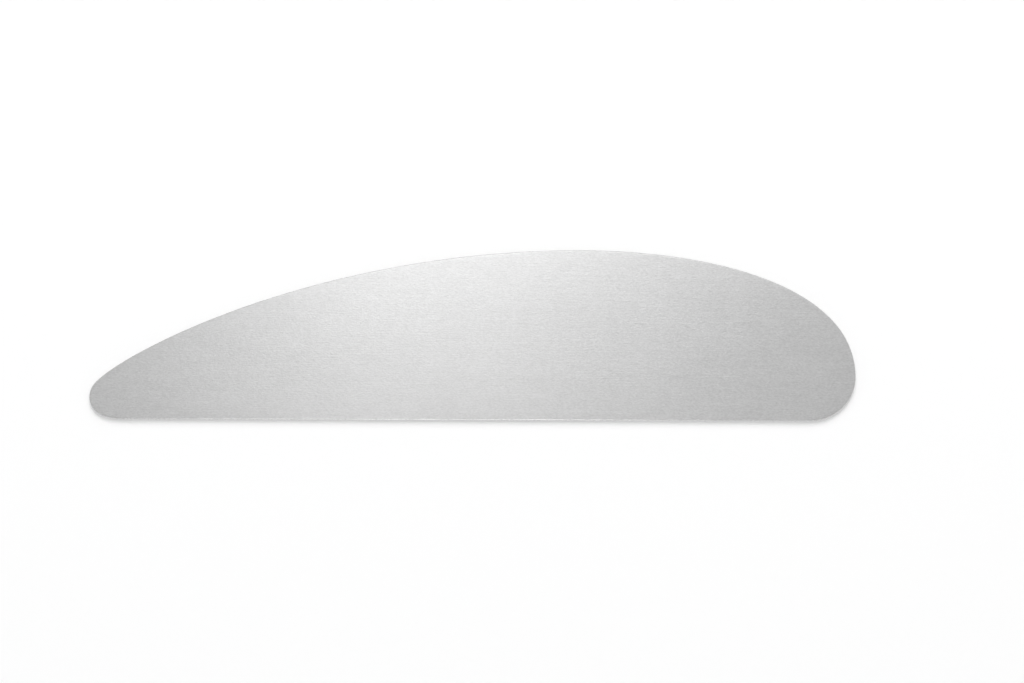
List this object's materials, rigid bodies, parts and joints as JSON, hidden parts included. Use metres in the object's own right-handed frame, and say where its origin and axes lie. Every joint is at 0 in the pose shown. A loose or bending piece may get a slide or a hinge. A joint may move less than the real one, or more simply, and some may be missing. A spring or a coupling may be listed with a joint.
{
  "type": "pottery rib",
  "caption": "Flat steel pottery rib with a long straight edge, an arched back, a narrow round tip and a broad round heel, for scraping and shaping clay.",
  "frame": {"origin": "centre of the underside's bounding box, so the blade lies on the plane Z = 0", "axes": "+X along the length towards the broad heel, +Y across the width towards the arched back, +Z through the sheet's thickness"},
  "size_m": [0.1524, 0.035, 0.0008],
  "materials": {
    "steel": "satin, with a fine grain along the length"
  },
  "bodies": {
    "root": {"blade": "steel"}
  },
  "joints": []
}
